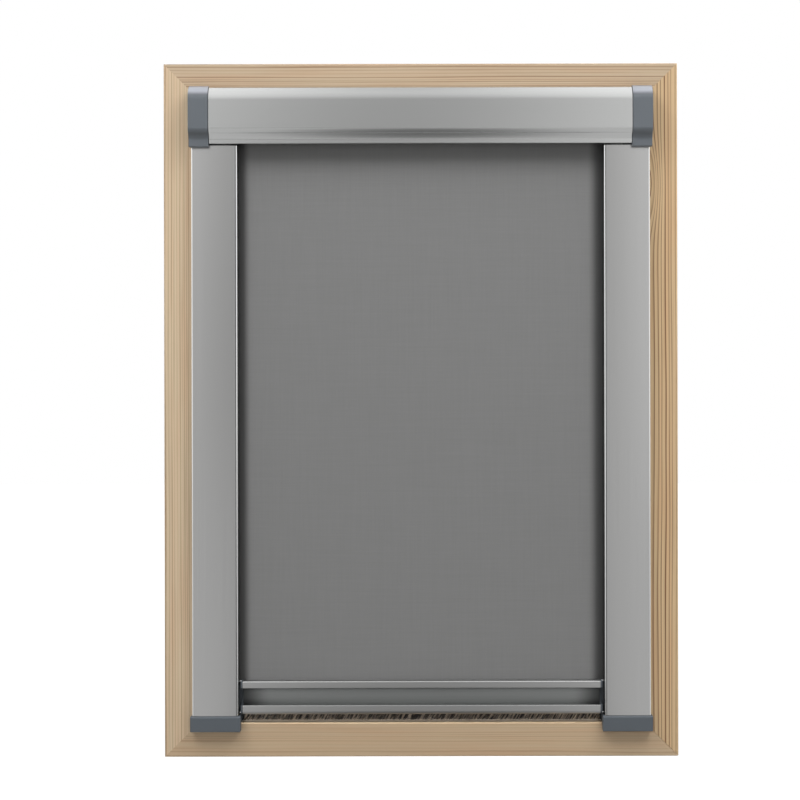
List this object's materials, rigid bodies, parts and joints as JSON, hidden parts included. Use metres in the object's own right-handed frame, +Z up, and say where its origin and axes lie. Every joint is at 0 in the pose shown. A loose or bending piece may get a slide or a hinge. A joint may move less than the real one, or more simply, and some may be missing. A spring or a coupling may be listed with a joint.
{
  "type": "skylight window blind",
  "caption": "Roof window sash with a spring roller blackout blind: cassette, side rails, sliding bottom bar with finger groove and brush seal.",
  "frame": {"origin": "middle of the sash's back face, on its vertical and horizontal centre lines", "axes": "+Z up along the stiles, +X to the right seen from the room, +Y from the room out through the window"},
  "size_m": [0.513, 0.0649, 0.692],
  "materials": {
    "pine": "clear lacquered pine, satin",
    "beech": "bare beech",
    "anodised_aluminium": "natural anodised, satin",
    "steel": "zinc plated",
    "cap_plastic": "moulded, fine matt",
    "inner_plastic": "moulded, black",
    "blackout_cloth": "plain weave, coated back",
    "felt": "pressed felt",
    "brush_fibre": "dense pile"
  },
  "bodies": {
    "sash_assembly": {"sash_head": "pine", "sash_sill": "pine", "sash_stile_left": "pine", "sash_stile_right": "pine", "cassette_cover": "anodised_aluminium", "cassette_base": "anodised_aluminium", "fabric_panel": "blackout_cloth", "fabric_lead": "blackout_cloth", "spring_shaft": "steel", "spring_anchor": "inner_plastic", "torsion_spring": "steel", "corner_key_top_left": "beech", "corner_key_top_right": "beech", "corner_key_bottom_left": "beech", "corner_key_bottom_right": "beech", "end_cap_left": "cap_plastic", "foot_cap_left": "cap_plastic", "bracket_left": "steel", "rail_channel_left": "anodised_aluminium", "rail_cover_left": "anodised_aluminium", "bracket_screw_left_1": "steel", "bracket_screw_left_2": "steel", "rail_screw_left_1": "steel", "rail_screw_left_2": "steel", "rail_screw_left_3": "steel", "end_cap_right": "cap_plastic", "foot_cap_right": "cap_plastic", "bracket_right": "steel", "rail_channel_right": "anodised_aluminium", "rail_cover_right": "anodised_aluminium", "bracket_screw_right_1": "steel", "bracket_screw_right_2": "steel", "rail_screw_right_1": "steel", "rail_screw_right_2": "steel", "rail_screw_right_3": "steel"},
    "roller_assembly": {"roller_tube": "anodised_aluminium", "fabric_roll": "blackout_cloth", "spring_plug": "inner_plastic", "idle_plug": "inner_plastic", "idle_pin": "steel"},
    "bar_assembly": {"bottom_bar": "anodised_aluminium", "hem_spline": "inner_plastic", "brush_backing": "inner_plastic", "brush_pile": "brush_fibre", "bar_end_left": "inner_plastic", "brake_spring_left": "steel", "brake_pad_left": "felt", "bar_end_right": "inner_plastic", "brake_spring_right": "steel", "brake_pad_right": "felt"}
  },
  "joints": [
    {"name": "bar_slide", "type": "slide", "parent": "sash_assembly", "child": "bar_assembly", "axis": [0, 0, 1], "range_m": [0, 0.53], "deforming": ["fabric_panel"]},
    {"name": "roller_spin", "type": "hinge", "parent": "sash_assembly", "child": "roller_assembly", "pos_m": [0, -0.02835, 0.2855], "axis": [-1, 0, 0], "range_deg": [0, 2345]}
  ],
  "couplings": [
    {"joint": "roller_spin", "follows": "bar_slide", "rad_per_m": 77.1}
  ]
}
